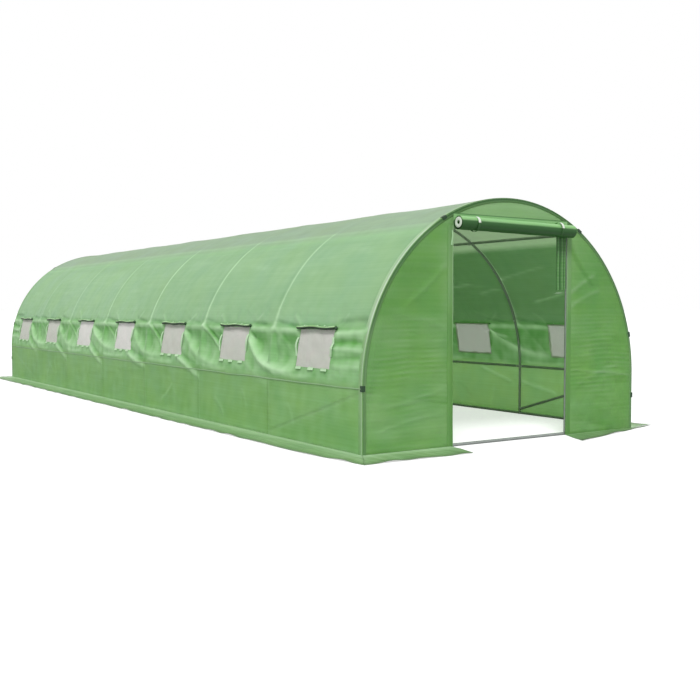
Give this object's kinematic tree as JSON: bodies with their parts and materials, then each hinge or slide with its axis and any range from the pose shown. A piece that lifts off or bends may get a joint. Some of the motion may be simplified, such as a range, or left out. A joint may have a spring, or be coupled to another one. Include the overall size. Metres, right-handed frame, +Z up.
{
  "type": "polytunnel greenhouse",
  "caption": "Walk-in garden tunnel with round tube hoops, a green woven film cover, net side windows with rolled flaps, open doorways with rolled door sheets, and a ground skirt.",
  "frame": {"origin": "on the ground at the middle of the plan", "axes": "+X across the tunnel, +Y along it from the front end to the back, +Z up"},
  "size_m": [3.64, 10.7, 2],
  "materials": {
    "steel_tube": "galvanised round tube, dull and lightly spangled",
    "bracket_steel": "zinc-plated flat brackets and bolts",
    "side_film": "green translucent film over a woven grid, mid green",
    "roof_film": "green translucent film over a woven grid, with a soft sheen and folds",
    "end_film": "green translucent film over a fine woven grid",
    "skirt_film": "green woven film lying on the ground, dusty at its edge",
    "door_film": "green film rolled up in many turns",
    "strap_webbing": "pale green woven strap",
    "window_net": "light grey insect net in a fine square mesh",
    "flap_film": "pale green film rolled into a narrow flap",
    "clip_plastic": "dark green moulded clips"
  },
  "bodies": {
    "root": {"hoop_1": "steel_tube", "hoop_2": "steel_tube", "hoop_3": "steel_tube", "hoop_4": "steel_tube", "hoop_5": "steel_tube", "hoop_6": "steel_tube", "hoop_7": "steel_tube", "hoop_8": "steel_tube", "ridge_tube": "steel_tube", "shoulder_tube_left": "steel_tube", "shoulder_tube_right": "steel_tube", "waist_tube_left": "steel_tube", "waist_tube_right": "steel_tube", "base_tube_left": "steel_tube", "base_tube_right": "steel_tube", "corner_braces": "steel_tube", "sill_tubes": "steel_tube", "door_posts": "steel_tube", "door_heads": "steel_tube", "tube_brackets": "bracket_steel", "side_wall_left": "side_film", "side_wall_right": "side_film", "window_strip_left": "roof_film", "window_strip_right": "roof_film", "roof_lower_left": "roof_film", "roof_lower_right": "roof_film", "roof_upper_left": "roof_film", "roof_upper_right": "roof_film", "front_panel_left": "end_film", "front_panel_right": "end_film", "front_panel_top": "end_film", "back_panel_left": "end_film", "back_panel_right": "end_film", "back_panel_top": "end_film", "ground_skirt_left": "skirt_film", "ground_skirt_right": "skirt_film", "ground_skirt_front": "skirt_film", "ground_skirt_back": "skirt_film", "door_rolls": "door_film", "roll_straps": "strap_webbing", "window_nets_left": "window_net", "window_nets_right": "window_net", "window_flaps_left": "flap_film", "window_flaps_right": "flap_film", "cover_clips": "clip_plastic"}
  },
  "joints": []
}
